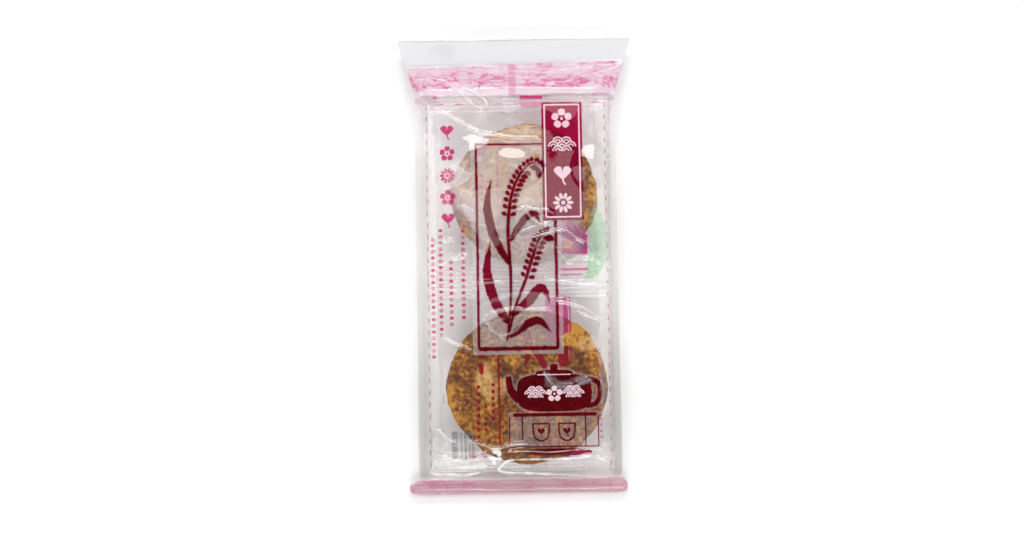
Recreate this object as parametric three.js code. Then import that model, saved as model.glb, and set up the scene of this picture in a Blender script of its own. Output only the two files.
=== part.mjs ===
// A sealed clear film pack of soy-dipped rice crackers, lying on its back with the printed front up.
// Millimetres. +Y runs to the flat top seal, +X to the right of the front, +Z up off the table.
// The origin is on the table, under the middle of the pack's bounding box.
// The pack is one closed solid: pillow body, top shoulder and seal fin, bottom slope and rolled seal.

import * as THREE from 'three';
import { mergeVertices } from 'three/addons/utils/BufferGeometryUtils.js';

// Driving dimensions
const PACK_LENGTH = 236; // top edge of the seal fin to the outside of the rolled bottom seal
const FIN_WIDTH = 122; // the film tube laid flat, at the top edge
const BODY_WIDTH = 104; // the filled part, narrower because the contents take up film
const BODY_HEIGHT = 25; // three wrapped crackers on each other, with the film drawn tight
const SIDE_RADIUS = 11.5; // how the film turns from the front panel into the sides

const FIN_LENGTH = 13.5; // crimped band at the top
const FIN_THICKNESS = 1.4;
const FIN_ROOT_HEIGHT = 12; // middle of the fin where the shoulder closes
const FIN_TIP_HEIGHT = 9.5; // the free edge droops a little
const SHOULDER_LENGTH = 16; // from the full body height to the fin

const ROLL_LENGTH = 8.6; // the bottom seal, folded under into a flat roll
const ROLL_HEIGHT = 6.4;
const ROLL_WIDTH = 112;
const ROLL_SHIFT = -1.2; // the roll sticks out more on the left
const SLOPE_LENGTH = 14; // from the full body height down to the roll
const ROLL_LIFT = 0.5; // the roll hangs just clear of the table

const UPPER_STACK = { x: 4, y: 34.8, radius: 37.8 }; // each stack lifts the front panel a little
const LOWER_STACK = { x: 3.9, y: -63.9, radius: 40.9 };
const PLATEAU_MARGIN = 1;
const PLATEAU_RISE = 0.9;
const PLATEAU_EDGE = 14; // width of the soft edge around a plateau

// Fineness of the surface
const FLAT_STEPS = 14; // across the front, and across the back
const SIDE_STEPS = 8; // round each side
const BODY_STEP = 7; // along the body
const END_STEP = 2.2; // along the shoulder, the slope and the roll

// Places along Y that follow from the sizes
const TOP_END = PACK_LENGTH / 2;
const BOTTOM_END = -PACK_LENGTH / 2;
const FIN_ROOT = TOP_END - FIN_LENGTH;
const SHOULDER = FIN_ROOT - SHOULDER_LENGTH;
const ROLL_ROOT = BOTTOM_END + ROLL_LENGTH;
const SLOPE = ROLL_ROOT + SLOPE_LENGTH;

const mix = (a, b, t) => a + (b - a) * t;
const clamp01 = (t) => Math.min(1, Math.max(0, t));
const smooth = (t) => t * t * (3 - 2 * t);
const arc = (t, power = 2) => Math.max(0, 1 - Math.abs(t) ** power) ** (1 / power);

// How far across the roll a place lies: -1 at its outer edge, +1 where it meets the slope
const acrossRoll = (y) => (y - BOTTOM_END) / ROLL_LENGTH * 2 - 1;

// How far the roll has spread sideways at y: not where it meets the slope, fully at its middle,
// and rounded off at its outer edge
function rollSpread(y) {
  const across = acrossRoll(y);
  return smooth(clamp01(1 - across)) * arc(clamp01(-across), 3);
}

// Half of the pack's width at y
function halfWidth(y) {
  if (y > SHOULDER) {
    const t = (y - SHOULDER) / (TOP_END - SHOULDER);
    return mix(BODY_WIDTH, FIN_WIDTH, t) / 2;
  }
  return mix(BODY_WIDTH, ROLL_WIDTH, rollSpread(y)) / 2;
}

// Height of the middle of the fin at y
function finHeight(y) {
  return mix(FIN_ROOT_HEIGHT, FIN_TIP_HEIGHT, clamp01((y - FIN_ROOT) / FIN_LENGTH));
}

// Height of the front film at y, before the plateaus
function frontHeight(y) {
  if (y > SHOULDER) {
    const t = clamp01((y - SHOULDER) / SHOULDER_LENGTH);
    return mix(BODY_HEIGHT, finHeight(y) + FIN_THICKNESS / 2, smooth(t));
  }
  if (y < ROLL_ROOT) {
    const middle = ROLL_LIFT + ROLL_HEIGHT / 2;
    return middle + ROLL_HEIGHT / 2 * Math.max(0.12, arc(Math.min(0, acrossRoll(y))));
  }
  if (y < SLOPE) {
    const t = (SLOPE - y) / SLOPE_LENGTH;
    return mix(ROLL_LIFT + ROLL_HEIGHT, BODY_HEIGHT, arc(t) * 0.6 + (1 - smooth(t)) * 0.4);
  }
  return BODY_HEIGHT;
}

// Height of the back film at y
function backHeight(y) {
  if (y > SHOULDER) {
    const t = clamp01((y - SHOULDER) / SHOULDER_LENGTH);
    return mix(0, finHeight(y) - FIN_THICKNESS / 2, smooth(t));
  }
  if (y < ROLL_ROOT) {
    const middle = ROLL_LIFT + ROLL_HEIGHT / 2;
    const edge = middle - ROLL_HEIGHT / 2 * Math.max(0.12, arc(Math.min(0, acrossRoll(y))));
    return edge * clamp01((ROLL_ROOT - y) / ROLL_LENGTH * 2);
  }
  return 0;
}

// Rise of the front film over a stack of crackers
function plateau(x, y, stack) {
  const out = Math.hypot(x - stack.x, y - stack.y) - stack.radius - PLATEAU_MARGIN;
  return PLATEAU_RISE * (1 - smooth(clamp01(out / PLATEAU_EDGE + 0.5)));
}

// A point on the right side, t from 0 at the back to 1 at the front
function sidePoint(half, low, high, radius, t) {
  const angle = (t - 0.5) * Math.PI;
  const reach = (high - low) / 2;
  return [half - radius + radius * Math.cos(angle), (low + high) / 2 + reach * Math.sin(angle)];
}

// One closed section at y: across the back from left to right, up the right side,
// across the front from right to left, and down the left side
function section(y) {
  const half = halfWidth(y);
  const low = backHeight(y);
  const high = frontHeight(y);
  const radius = Math.min(SIDE_RADIUS, (high - low) / 2);
  const shift = ROLL_SHIFT * rollSpread(y);
  const outline = [];
  for (let i = 0; i < FLAT_STEPS; i++) {
    outline.push([mix(radius - half, half - radius, i / FLAT_STEPS), low]);
  }
  for (let i = 0; i < SIDE_STEPS; i++) {
    outline.push(sidePoint(half, low, high, radius, i / SIDE_STEPS));
  }
  for (let i = 0; i < FLAT_STEPS; i++) {
    outline.push([mix(half - radius, radius - half, i / FLAT_STEPS), high]);
  }
  for (let i = 0; i < SIDE_STEPS; i++) {
    const [x, z] = sidePoint(half, low, high, radius, 1 - i / SIDE_STEPS);
    outline.push([-x, z]);
  }
  return outline.map(([x, z]) => {
    const up = (z - low) / (high - low);
    const rise = plateau(x, y, UPPER_STACK) + plateau(x, y, LOWER_STACK);
    return new THREE.Vector3(x + shift, y, z + rise * up * up);
  });
}

// Places of the sections: close together at the two ends, where the outline turns
function stations() {
  const places = [];
  const run = (from, to, step) => {
    const count = Math.ceil((to - from) / step);
    for (let i = 0; i < count; i++) {
      places.push(mix(from, to, i / count));
    }
  };
  run(BOTTOM_END, ROLL_ROOT, END_STEP / 2);
  run(ROLL_ROOT, SLOPE, END_STEP);
  run(SLOPE, SHOULDER, BODY_STEP);
  run(SHOULDER, FIN_ROOT, END_STEP);
  run(FIN_ROOT, TOP_END, END_STEP * 2);
  places.push(TOP_END);
  return places;
}

// The triangles that close a ring, in a zigzag from its left end to its right end
function cap(ring) {
  const around = ring.length;
  const leftEnd = around - SIDE_STEPS / 2;
  const at = (i) => ring[(leftEnd + i + around) % around];
  const zigzag = [at(0)];
  for (let i = 1; i < around / 2; i++) {
    zigzag.push(at(i), at(-i));
  }
  zigzag.push(at(around / 2));
  return zigzag.slice(2).map((c, k) => {
    const [a, b] = [zigzag[k], zigzag[k + 1]];
    return k % 2 ? [b, a, c] : [a, b, c];
  });
}

// The sections joined into one closed skin, with a flat cap on each end
function packGeometry() {
  const rings = stations().map(section);
  const around = rings[0].length;
  const corners = [];
  for (let r = 0; r + 1 < rings.length; r++) {
    for (let i = 0; i < around; i++) {
      const j = (i + 1) % around;
      corners.push(rings[r][i], rings[r + 1][j], rings[r][j]);
      corners.push(rings[r][i], rings[r + 1][i], rings[r + 1][j]);
    }
  }
  cap(rings[0]).forEach(([a, b, c]) => corners.push(a, b, c));
  cap(rings[rings.length - 1]).forEach(([a, b, c]) => corners.push(a, c, b));
  const geometry = new THREE.BufferGeometry().setFromPoints(corners);
  return mergeVertices(geometry, 1e-4);
}

const film = new THREE.MeshStandardMaterial({ color: 0xe6d3d6, roughness: 0.25, metalness: 0 });

const pack = new THREE.Group();
const bag = new THREE.Mesh(packGeometry(), film);
bag.name = 'film_pack';
pack.add(bag);

export default pack;
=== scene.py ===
import math
from collections import namedtuple

import bmesh
import bpy
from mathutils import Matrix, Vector, kdtree, noise
from mathutils.bvhtree import BVHTree


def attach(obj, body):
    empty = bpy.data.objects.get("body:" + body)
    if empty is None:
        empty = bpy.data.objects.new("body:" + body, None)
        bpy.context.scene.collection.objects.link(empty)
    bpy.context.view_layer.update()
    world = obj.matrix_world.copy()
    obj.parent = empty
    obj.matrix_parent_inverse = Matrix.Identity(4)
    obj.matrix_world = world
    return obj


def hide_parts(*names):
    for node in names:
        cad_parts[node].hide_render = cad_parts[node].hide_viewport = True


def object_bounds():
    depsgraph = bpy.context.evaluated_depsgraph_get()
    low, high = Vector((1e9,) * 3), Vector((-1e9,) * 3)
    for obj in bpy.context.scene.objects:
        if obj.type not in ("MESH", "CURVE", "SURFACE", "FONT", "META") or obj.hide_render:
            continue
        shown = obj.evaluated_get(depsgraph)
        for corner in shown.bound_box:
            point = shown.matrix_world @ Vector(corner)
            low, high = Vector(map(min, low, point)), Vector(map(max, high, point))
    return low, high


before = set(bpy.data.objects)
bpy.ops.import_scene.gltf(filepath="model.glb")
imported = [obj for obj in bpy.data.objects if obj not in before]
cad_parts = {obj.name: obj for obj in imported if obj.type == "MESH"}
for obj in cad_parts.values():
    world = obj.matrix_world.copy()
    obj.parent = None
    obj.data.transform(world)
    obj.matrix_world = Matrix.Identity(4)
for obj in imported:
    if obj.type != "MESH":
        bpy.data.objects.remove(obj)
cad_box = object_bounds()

MM = 0.001

# ---------------------------------------------------------------------------------------------
# The form of the outer bag: a tube of clear cast polypropylene film, 0.04 mm thick, sealed flat
# across its top, folded under at its bottom and drawn tight over two stacks of wrapped crackers.
# It is worked out first, because everything inside keeps clear of it.

BOTTOM_END, TOP_END = cad_box[0][1], cad_box[1][1]
PACK_LENGTH = TOP_END - BOTTOM_END
FIN_WIDTH = cad_box[1][0] - cad_box[0][0]  # the tube laid flat, at the top edge
BODY_WIDTH = 104 * MM  # narrower, because the contents take up film
PLATEAU_RISE = 0.9 * MM  # how far each stack lifts the front film
PLATEAU_MARGIN = 1 * MM
PLATEAU_EDGE = 14 * MM
BODY_HEIGHT = cad_box[1][2] - PLATEAU_RISE
SIDE_RADIUS = 11.5 * MM  # how the film turns from the front into the sides

FIN_LENGTH = 13.5 * MM  # the flat seal at the top
FIN_GAP = 0.3 * MM  # between its front and its back film
FIN_ROOT_HEIGHT = 12 * MM
FIN_TIP_HEIGHT = 9.5 * MM  # its free edge droops a little
SHOULDER_LENGTH = 16 * MM  # from the full height of the body to the seal

ROLL_LENGTH = 8.6 * MM  # the bottom seal, folded under into a flat roll
ROLL_HEIGHT = 6.4 * MM
ROLL_WIDTH = 112 * MM
ROLL_SHIFT = -1.2 * MM  # it sticks out more on the left
ROLL_LIFT = 0.5 * MM  # it hangs just clear of the table
ROLL_EDGE_SHARE = 0.05  # how thick its outer edge still is
SLOPE_LENGTH = 14 * MM  # from the full height of the body down to the roll
SLOPE_ROUNDNESS = 0.6

Stack = namedtuple("Stack", "x y radius")  # three crackers on each other
UPPER_STACK = Stack(4.0 * MM, 34.8 * MM, 37.8 * MM)
LOWER_STACK = Stack(3.9 * MM, -63.9 * MM, 40.9 * MM)

FIN_ROOT = TOP_END - FIN_LENGTH
SHOULDER = FIN_ROOT - SHOULDER_LENGTH
ROLL_ROOT = BOTTOM_END + ROLL_LENGTH
SLOPE = ROLL_ROOT + SLOPE_LENGTH


def mix(a, b, t):
    return a + (b - a) * t


def clamp(t, low=0.0, high=1.0):
    return min(high, max(low, t))


def smooth(t):
    t = clamp(t)
    return t * t * (3 - 2 * t)


def arc(t, power=2):
    """A rounded fall from 1 in the middle to 0 at -1 and at 1."""
    return max(0.0, 1 - abs(t) ** power) ** (1 / power)


def across_roll(y):
    """-1 at the outer edge of the roll, 1 where it meets the slope."""
    return (y - BOTTOM_END) / ROLL_LENGTH * 2 - 1


def roll_spread(y):
    """How far the roll has spread sideways: not at the slope, fully at its middle."""
    return smooth(1 - across_roll(y)) * arc(clamp(-across_roll(y)), 3)


def half_width(y):
    if y > SHOULDER:
        return mix(BODY_WIDTH, FIN_WIDTH, (y - SHOULDER) / (TOP_END - SHOULDER)) / 2
    return mix(BODY_WIDTH, ROLL_WIDTH, roll_spread(y)) / 2


def fin_height(y):
    return mix(FIN_ROOT_HEIGHT, FIN_TIP_HEIGHT, clamp((y - FIN_ROOT) / FIN_LENGTH))


def roll_edge(y):
    return ROLL_HEIGHT / 2 * max(ROLL_EDGE_SHARE, arc(min(0.0, across_roll(y))))


def front_height(x, y):
    """Height of the front film before its wrinkles."""
    if y > SHOULDER:
        fall = smooth((y - SHOULDER) / SHOULDER_LENGTH)
        height = mix(BODY_HEIGHT, fin_height(y) + FIN_GAP / 2, fall)
    elif y < ROLL_ROOT:
        height = ROLL_LIFT + ROLL_HEIGHT / 2 + roll_edge(y)
    elif y < SLOPE:
        t = (SLOPE - y) / SLOPE_LENGTH
        fullness = arc(t) * SLOPE_ROUNDNESS + (1 - smooth(t)) * (1 - SLOPE_ROUNDNESS)
        height = mix(ROLL_LIFT + ROLL_HEIGHT, BODY_HEIGHT, fullness)
    else:
        height = BODY_HEIGHT
    for stack in (UPPER_STACK, LOWER_STACK):
        out = math.hypot(x - stack.x, y - stack.y) - stack.radius - PLATEAU_MARGIN
        height += PLATEAU_RISE * (1 - smooth(out / PLATEAU_EDGE + 0.5))
    return height


def back_height(y):
    """Height of the back film, which lies flat on the table under the body."""
    if y > SHOULDER:
        rise = smooth((y - SHOULDER) / SHOULDER_LENGTH)
        return mix(0.0, fin_height(y) - FIN_GAP / 2, rise)
    if y < ROLL_ROOT:
        edge = ROLL_LIFT + ROLL_HEIGHT / 2 - roll_edge(y)
        return edge * clamp((ROLL_ROOT - y) / ROLL_LENGTH * 2)
    return 0.0


# ---------------------------------------------------------------------------------------------
# The crackers: discs of kneaded rice dough, grilled and dipped hot in soy sauce, which soaks in
# unevenly. Three lie on each other in each stack, and only the top ones show their faces.

LEVELS = 3
STACK_PITCH = 8.1 * MM
LOWEST_MIDDLE = 4.5 * MM
CRACKER_THICKNESS = 7.2 * MM
CRACKER_LENGTHWISE = 0.955  # its length along the pack, as a share of its width
HIDDEN_SHARE = 0.96  # the lower crackers of a stack are a little smaller
SHOWN_FINENESS, HIDDEN_FINENESS = 6, 5  # of the ball that a cracker is pressed from
RIM_SQUARENESS = 3.4
OUTLINE_WAVES = [(2.2, 0.022), (9.0, 0.0088)]  # waves to a radius, height as a share of it
RELIEF = [(16 * MM, 0.9 * MM), (6 * MM, 0.55 * MM), (2.4 * MM, 0.3 * MM)]  # wavelength, height
TONE_RELIEF = 2.4 * MM  # the relief that takes the tone from dark to golden
PALE_RIM = 0.2  # how much lighter the rim is grilled, more and less in patches
RIM_PATCH = 9 * MM
UNDERSIDE_UNSOAKED = 0.35  # how pale the unsoaked ovals are on the faces that don't show

# How each stack came out. All ovals are in millimetres: place, reach across and along. An unsoaked
# one took up little sauce, a toned one ends in how much lighter it is, a blister in its height.
Bake = namedtuple("Bake", "seed outline_seed unsoaked toned blister")
UPPER_BAKE = Bake(
    seed=10,
    outline_seed=13.0,
    unsoaked=[(2, 60, 25, 13), (-8, 38, 24, 16)],
    toned=[(40.5, 38, 3, 9, 0.4), (38, 22, 4, 5, 0.3), (-28, 14, 5, 9, 0.3)],
    blister=None,
)
LOWER_BAKE = Bake(
    seed=20,
    outline_seed=22.0,
    unsoaked=[(-17.5, -60, 5, 8), (-14, -67, 4, 5), (35, -43, 6, 3.5), (-8, -63, 3, 4)],
    toned=[(29.5, -33.5, 6, 5, 0.5), (38, -49, 5, 9, 0.35), (-32, -47, 4, 6, 0.35),
           (-3, -50, 4, 7, 0.2), (-33, -72, 4, 12, 0.25), (-22, -88, 6, 7, 0.15),
           (-6, -86, 5, 8, 0.3), (-27, -63, 7, 5, -0.1), (-20, -48, 7, 4, -0.15),
           (-9, -55.5, 8, 3.5, -0.2)],
    blister=(28.5, -38.5, 8, 6.4, 1.4),
)


def ripple(x, y, across, along, seed):
    """Noise between -1 and 1, whose waves are so long across and along the pack."""
    return noise.noise(Vector((x / across, y / along, seed)))


OVAL_EDGE = 0.4  # how soft an oval's edge is and how far it strays, as shares of its reach
OVAL_RAGGEDNESS = 0.35


def near_share(x, y, oval):
    """1 in the middle of an oval given in millimetres, 0 outside it, with a soft ragged edge."""
    middle_x, middle_y, reach_x, reach_y = oval[:4]
    away = math.hypot((x / MM - middle_x) / reach_x, (y / MM - middle_y) / reach_y)
    ragged = ripple(x, y, 3 * MM, 3 * MM, 2.0) * OVAL_RAGGEDNESS
    return smooth((1.15 - away + ragged) / OVAL_EDGE)


def level_height(level):
    return LOWEST_MIDDLE + level * STACK_PITCH


def cracker_relief(place, seed):
    shift = Vector((seed * 7.3, seed * 3.1, seed * 5.7))
    return sum(noise.noise(place / wave + shift) * height for wave, height in RELIEF)


def soy_tone(place, relief, reach, toned):
    """How light a place is grilled: where it stands up, in the toned ovals and at the rim."""
    ovals = sum(oval[-1] * near_share(place.x, place.y, oval) for oval in toned)
    patchy = 0.7 + 1.1 * noise.noise(place / RIM_PATCH)
    rim = PALE_RIM * patchy * smooth((reach - 0.93) / 0.06)
    return clamp(0.5 + relief / TONE_RELIEF) + ovals + rim


def new_piece(name, bm, materials):
    """Turns a bmesh into a smooth piece that rides on the pack."""
    mesh = bpy.data.meshes.new(name)
    bm.to_mesh(mesh)
    bm.free()
    mesh.shade_smooth()
    for material in materials:
        mesh.materials.append(material)
    made = bpy.data.objects.new(name, mesh)
    bpy.context.scene.collection.objects.link(made)
    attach(made, "root")
    return made


def cracker(name, stack, bake, level, material):
    """A ball pressed to a flat disc with a square rim, then roughened outwards."""
    on_show = level == LEVELS - 1
    radius = stack.radius * (1 if on_show else HIDDEN_SHARE)
    fineness = SHOWN_FINENESS if on_show else HIDDEN_FINENESS
    bm = bmesh.new()
    bmesh.ops.create_icosphere(bm, subdivisions=fineness, radius=1)
    tone_layer = bm.verts.layers.float.new("tone")
    unsoaked_layer = bm.verts.layers.float.new("unsoaked")
    for v in bm.verts:
        x, y, z = v.co
        reach = math.hypot(x, y)
        outline = Vector((x, y, bake.outline_seed))
        wobble = 1 + sum(noise.noise(outline * waves) * share for waves, share in OUTLINE_WAVES)
        place = Vector((
            stack.x + radius * x * wobble,
            stack.y + radius * CRACKER_LENGTHWISE * y * wobble,
            level_height(level)
            + math.copysign(arc(reach, RIM_SQUARENESS) * CRACKER_THICKNESS / 2, z),
        ))
        relief = cracker_relief(place, bake.seed + level)
        if on_show and bake.blister:
            relief += bake.blister[-1] * MM * near_share(place.x, place.y, bake.blister)
        outwards = Vector((x * reach ** 4, y * reach ** 4, z)).normalized()
        v.co = place + outwards * relief
        v[tone_layer] = soy_tone(place, relief, reach, bake.toned)
        unsoaked = max(near_share(place.x, place.y, oval) for oval in bake.unsoaked)
        on_top = smooth(0.5 + 4 * z) * on_show
        v[unsoaked_layer] = unsoaked * mix(UNDERSIDE_UNSOAKED, 1.0, on_top)
    new_piece(name, bm, [material])


def linear(colour):
    """An sRGB hex colour as the linear numbers that a socket takes."""
    shares = [int(colour[i:i + 2], 16) / 255 for i in (1, 3, 5)]
    return [s / 12.92 if s <= 0.04045 else ((s + 0.055) / 1.055) ** 2.4 for s in shares] + [1.0]


def add_node(tree, kind, sockets=None, **settings):
    """Adds a node. A socket given another node's output is linked, any other value is set."""
    made = tree.nodes.new(kind)
    for name, value in settings.items():
        setattr(made, name, value)
    for socket, value in (sockets or {}).items():
        if isinstance(value, bpy.types.NodeSocket):
            tree.links.new(value, made.inputs[socket])
        else:
            made.inputs[socket].default_value = value
    return made


def new_material(name):
    material = bpy.data.materials.new(name)
    material.use_nodes = True
    material.node_tree.nodes.clear()
    return material


# Rice dough soaked in soy sauce and grilled: a moist satin skin, mottled at the scale of the
# crushed grains, nearly black in the hollows and golden on the raised grain
SOY_TONES = [(0.1, "#472209"), (0.36, "#6b3a13"), (0.6, "#8b571e"), (0.92, "#bd8733")]
PALE_DOUGH = "#cea366"  # shows through where it took up little sauce
GRAIN_SIZE = 2.0 * MM
PATCH_SIZE = 6 * MM
PIT_DEPTH = 0.7 * MM


def cracker_material():
    material = new_material("soy_soaked_rice_cracker")
    tree = material.node_tree
    place = add_node(tree, "ShaderNodeTexCoord").outputs["Object"]
    patches = add_node(tree, "ShaderNodeTexNoise", {
        "Vector": place, "Scale": 1 / PATCH_SIZE, "Detail": 4.0, "Roughness": 0.6})
    grain = add_node(tree, "ShaderNodeTexNoise", {
        "Vector": place, "Scale": 1 / GRAIN_SIZE, "Detail": 3.0, "Roughness": 0.5})
    tone = add_node(tree, "ShaderNodeAttribute", attribute_name="tone")
    mottle = add_node(tree, "ShaderNodeMath", {
        0: patches.outputs["Fac"], 1: 0.6, 2: grain.outputs["Fac"]}, operation="MULTIPLY_ADD")
    level = add_node(tree, "ShaderNodeMath", {
        0: tone.outputs["Fac"], 1: 0.35, 2: mottle.outputs[0]}, operation="MULTIPLY_ADD")
    share = add_node(tree, "ShaderNodeMapRange", {
        "Value": level.outputs[0], "From Min": 0.7, "From Max": 1.27})
    ramp = add_node(tree, "ShaderNodeValToRGB", {"Fac": share.outputs[0]})
    for position, _ in SOY_TONES[1:-1]:
        ramp.color_ramp.elements.new(position)
    for element, (position, colour) in zip(ramp.color_ramp.elements, SOY_TONES):
        element.position = position
        element.color = linear(colour)
    unsoaked = add_node(tree, "ShaderNodeAttribute", attribute_name="unsoaked")
    spared = add_node(tree, "ShaderNodeMapRange", {
        "Value": mottle.outputs[0], "From Min": 0.6, "From Max": 0.95,
        "To Min": 0.3, "To Max": 0.9})
    pale = add_node(tree, "ShaderNodeMath", {
        0: unsoaked.outputs["Fac"], 1: spared.outputs[0]}, operation="MULTIPLY")
    skin = add_node(tree, "ShaderNodeMix", {
        0: pale.outputs[0], 6: ramp.outputs["Color"], 7: linear(PALE_DOUGH)}, data_type="RGBA")
    pits = add_node(tree, "ShaderNodeBump", {
        "Height": grain.outputs["Fac"], "Strength": 0.6, "Distance": PIT_DEPTH})
    surface = add_node(tree, "ShaderNodeBsdfPrincipled", {
        "Base Color": skin.outputs[2], "Roughness": 0.5, "Specular IOR Level": 0.25,
        "Normal": pits.outputs[0]})
    add_node(tree, "ShaderNodeOutputMaterial", {"Surface": surface.outputs[0]})
    return material


soy_skin = cracker_material()
for level in range(LEVELS):
    cracker(f"upper_cracker_{level + 1}", UPPER_STACK, UPPER_BAKE, level, soy_skin)
    cracker(f"lower_cracker_{level + 1}", LOWER_STACK, LOWER_BAKE, level, soy_skin)


# ---------------------------------------------------------------------------------------------
# The sachets. Each cracker is sealed in its own pillow of thin clear film, folded at its sides
# and crimped with cross ribs at both ends. The ends of the two stacks overlap in the middle.

SACHET_X = 1.2 * MM  # the middle of both sachet stacks
SACHET_HALF_WIDTH = 47 * MM
SACHET_LENGTH = 105 * MM
SACHET_FIN = 10 * MM  # the crimped end
UPPER_SACHET_Y = 33.6 * MM
LOWER_SACHET_Y = -53.9 * MM
FIN_STAGGER = 1.3 * MM  # how far the overlapping ends move up or down out of each other's way
SACHET_SLACK = 0.5 * MM  # the air over the middle of a cracker
DRAPE_LENGTH = 15 * MM  # how far out the film takes to come down from the rim
DRAPE_START = -3 * MM
SIDE_ROUNDING = 7 * MM
FIN_ROUNDING = 9 * MM
RIB_PITCH = 2.1 * MM
RIB_HEIGHT = 0.16 * MM
LAYER_GAP = 0.06 * MM  # half of what parts the two films where they are crimped
BAG_CLEARANCE = 0.5 * MM  # to the bag, for each sachet in between
PRESSED_GAP = 0.15 * MM  # what parts the two films where the bag presses them flat
SHOWN_STEPS, HIDDEN_STEPS = (300, 220), (120, 90)  # round the sachet and along it


def bag_room(x, y):
    """The heights between which the bag has room for its contents at a place."""
    low, high = back_height(y), front_height(x, y)
    radius = min(SIDE_RADIUS, (high - low) / 2)
    fullness = arc(clamp((abs(x) - half_width(y) + radius) / radius))
    middle = (low + high) / 2
    return mix(middle, low, fullness), mix(middle, high, fullness)


def past_fin_root(y, middle_y):
    """How far a place lies beyond the inner edge of a sachet's crimped ends."""
    return abs(y - middle_y) - SACHET_LENGTH / 2 + SACHET_FIN


def sachet_rise(x, y, stack, middle_y):
    """Half the thickness of a sachet at a place: full over the cracker, none at its edges."""
    out = math.hypot(x - stack.x, (y - stack.y) / CRACKER_LENGTHWISE) - stack.radius
    full = CRACKER_THICKNESS / 2 + SACHET_SLACK
    drape = full * (1 - smooth((out - DRAPE_START) / DRAPE_LENGTH))
    to_side = (SACHET_HALF_WIDTH - abs(x - SACHET_X)) / SIDE_ROUNDING
    to_fin = -past_fin_root(y, middle_y) / FIN_ROUNDING
    return drape * arc(1 - clamp(to_side)) * arc(1 - clamp(to_fin))


def sachet_puckers(x, y, stack, middle_y, seed):
    """Soft wrinkles in the loose film, running from the cracker to the crimped ends."""
    out = math.hypot(x - stack.x, y - stack.y) - stack.radius
    loose = smooth((out + 6 * MM) / (14 * MM))
    lengthwise = ripple(x, y, 5 * MM, 26 * MM, seed) * 0.7 * loose
    broad = ripple(x, y, 17 * MM, 15 * MM, seed + 40) * 0.6 * (0.25 + 0.75 * loose)
    return (lengthwise + broad) * MM * clamp(-past_fin_root(y, middle_y) / (8 * MM))


# How milky the film is, as a share: hardly where it is new, striped by the crimping ribs, and
# rubbed on the upper stack, most on the left and least where it was wiped on the right
CLEAR_HAZE, HIDDEN_HAZE = 0.006, 0.01
CRIMP_HAZE, RIB_HAZE = 0.32, 0.16
RUBBED_HAZE, LEFT_HAZE, WIPED_HAZE, SIDE_HAZE = 0.24, 0.42, 0.14, 0.02


def rubbed_haze(x, y, stack):
    """The haze over the upper cracker, with a ragged edge at the top, right and lower left."""
    across, along = (x - stack.x) / stack.radius, (y - stack.y) / stack.radius
    ragged = 0.3 * noise.noise(Vector((across * 2.6, along * 2.6, 4.0)))
    rubbed = smooth((0.85 + ragged - along) / 0.16) * smooth((0.8 + ragged - across) / 0.16)
    clear = smooth((0.42 + ragged - math.hypot(across + 0.8, along + 0.62)) / 0.2)
    left = smooth((-0.35 - across + ragged) / 0.4)
    inside = smooth((1.1 - math.hypot(across, along)) / 0.12)
    wiped = mix(WIPED_HAZE, SIDE_HAZE, smooth((across - 0.7) / 0.16))
    return mix(wiped, mix(RUBBED_HAZE, LEFT_HAZE, left), rubbed * (1 - 0.8 * clear) * inside)


def sachet_haze(x, y, stack, middle_y):
    crimped = clamp(past_fin_root(y, middle_y) / MM)
    ribbed = CRIMP_HAZE + RIB_HAZE * math.sin(y / RIB_PITCH * math.tau)
    haze = mix(CLEAR_HAZE, ribbed, crimped)
    return max(haze, rubbed_haze(x, y, stack)) if stack is UPPER_STACK else haze


def sachet(name, stack, middle_y, level, material):
    """A tube laid flat and raised over its cracker. Gives back its surface, to print on."""
    on_show = level == LEVELS - 1
    around, along = SHOWN_STEPS if on_show else HIDDEN_STEPS
    seed = level + (30 if stack is UPPER_STACK else 50)
    other_way = -1 if stack is UPPER_STACK else 1  # along the pack, to the other stack
    bm = bmesh.new()
    bmesh.ops.create_grid(bm, x_segments=around, y_segments=along, size=0.5)
    haze_layer = bm.verts.layers.float.new("haze")
    for v in bm.verts:
        turn = (v.co.x + 0.5) * math.tau
        front = math.cos(turn) < 0
        x = SACHET_X + SACHET_HALF_WIDTH * math.asin(math.sin(turn)) / (math.pi / 2)
        y = middle_y + v.co.y * SACHET_LENGTH
        rise = sachet_rise(x, y, stack, middle_y)
        if rise > 0.01 * MM:
            rise += abs(sachet_puckers(x, y, stack, middle_y, seed + front * 5))
        rise += LAYER_GAP
        ribbed = clamp(past_fin_root(y, middle_y) / SACHET_FIN * 4)
        ribs = RIB_HEIGHT * math.sin(y / RIB_PITCH * math.tau) * ribbed
        overlap = smooth((y - middle_y) * other_way / SACHET_LENGTH * 4 - 1)
        middle = level_height(level) - FIN_STAGGER * overlap * other_way + ribs
        low, high = bag_room(x, y)
        low += BAG_CLEARANCE * (level + 1) + (PRESSED_GAP if front else 0)
        high -= BAG_CLEARANCE * (LEVELS - level) + (0 if front else PRESSED_GAP)
        z = middle + (rise if front else -rise)
        v.co = (x, y, clamp(z, low, max(low, high)))
        v[haze_layer] = HIDDEN_HAZE
        if front and on_show:
            v[haze_layer] = sachet_haze(x, y, stack, middle_y)
    bmesh.ops.remove_doubles(bm, verts=bm.verts, dist=0.01 * MM)
    bmesh.ops.recalc_face_normals(bm, faces=bm.faces)
    surface = BVHTree.FromBMesh(bm)
    new_piece(name, bm, [material])
    return surface


CRINKLE_SIZE = 6 * MM
CRINKLE_DEPTH = 1 * MM
MIRROR_AT_EDGE = 0.8  # the share of light that film mirrors when seen edge on


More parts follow.
